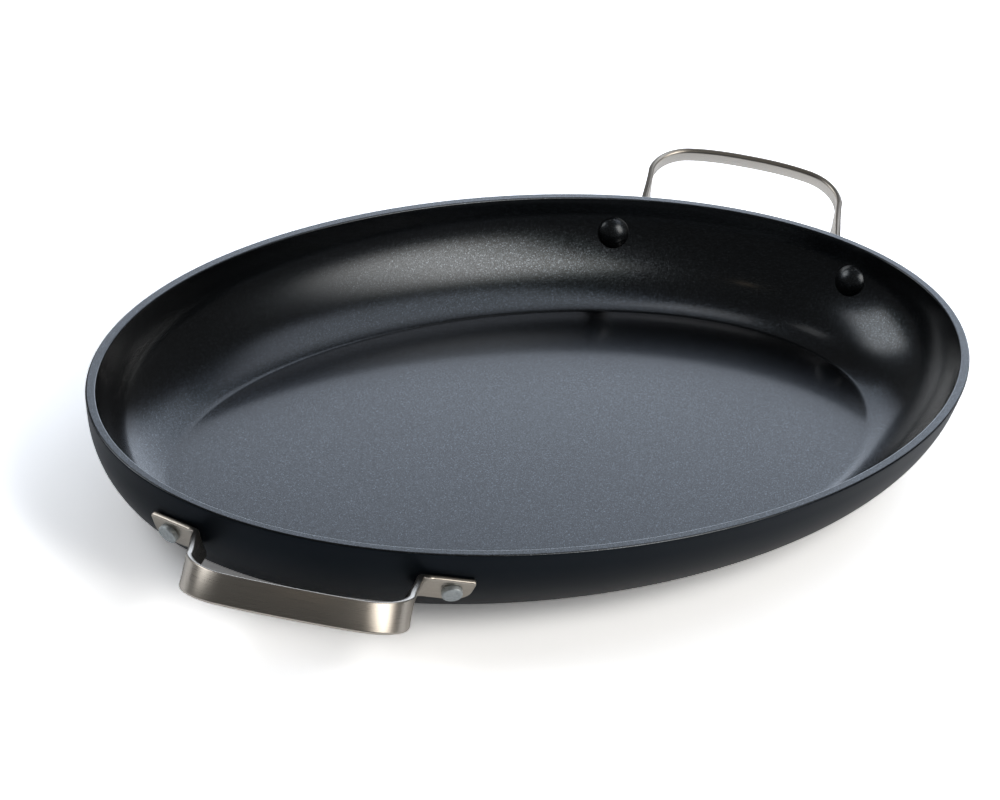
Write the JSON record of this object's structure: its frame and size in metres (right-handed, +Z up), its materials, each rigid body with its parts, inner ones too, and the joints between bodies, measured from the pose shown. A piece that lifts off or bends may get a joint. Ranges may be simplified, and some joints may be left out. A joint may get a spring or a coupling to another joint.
{
  "type": "oval fish pan",
  "caption": "Low oval pan for whole fish, dark coated aluminium with an induction sole plate and two riveted steel strap handles.",
  "frame": {"origin": "middle of the oval on the resting plane", "axes": "+X along the oval's long axis, +Z up"},
  "size_m": [0.4196, 0.2598, 0.0458],
  "materials": {
    "coated_aluminium": "satin",
    "sole_steel": "satin",
    "handle_steel": "satin",
    "rivet_aluminium": "satin"
  },
  "bodies": {
    "root": {"pan_body": "coated_aluminium", "sole_plate": "sole_steel", "handle_front": "handle_steel", "handle_rear": "handle_steel", "rivet_front_left": "rivet_aluminium", "rivet_front_right": "rivet_aluminium", "rivet_rear_left": "rivet_aluminium", "rivet_rear_right": "rivet_aluminium"}
  },
  "joints": []
}
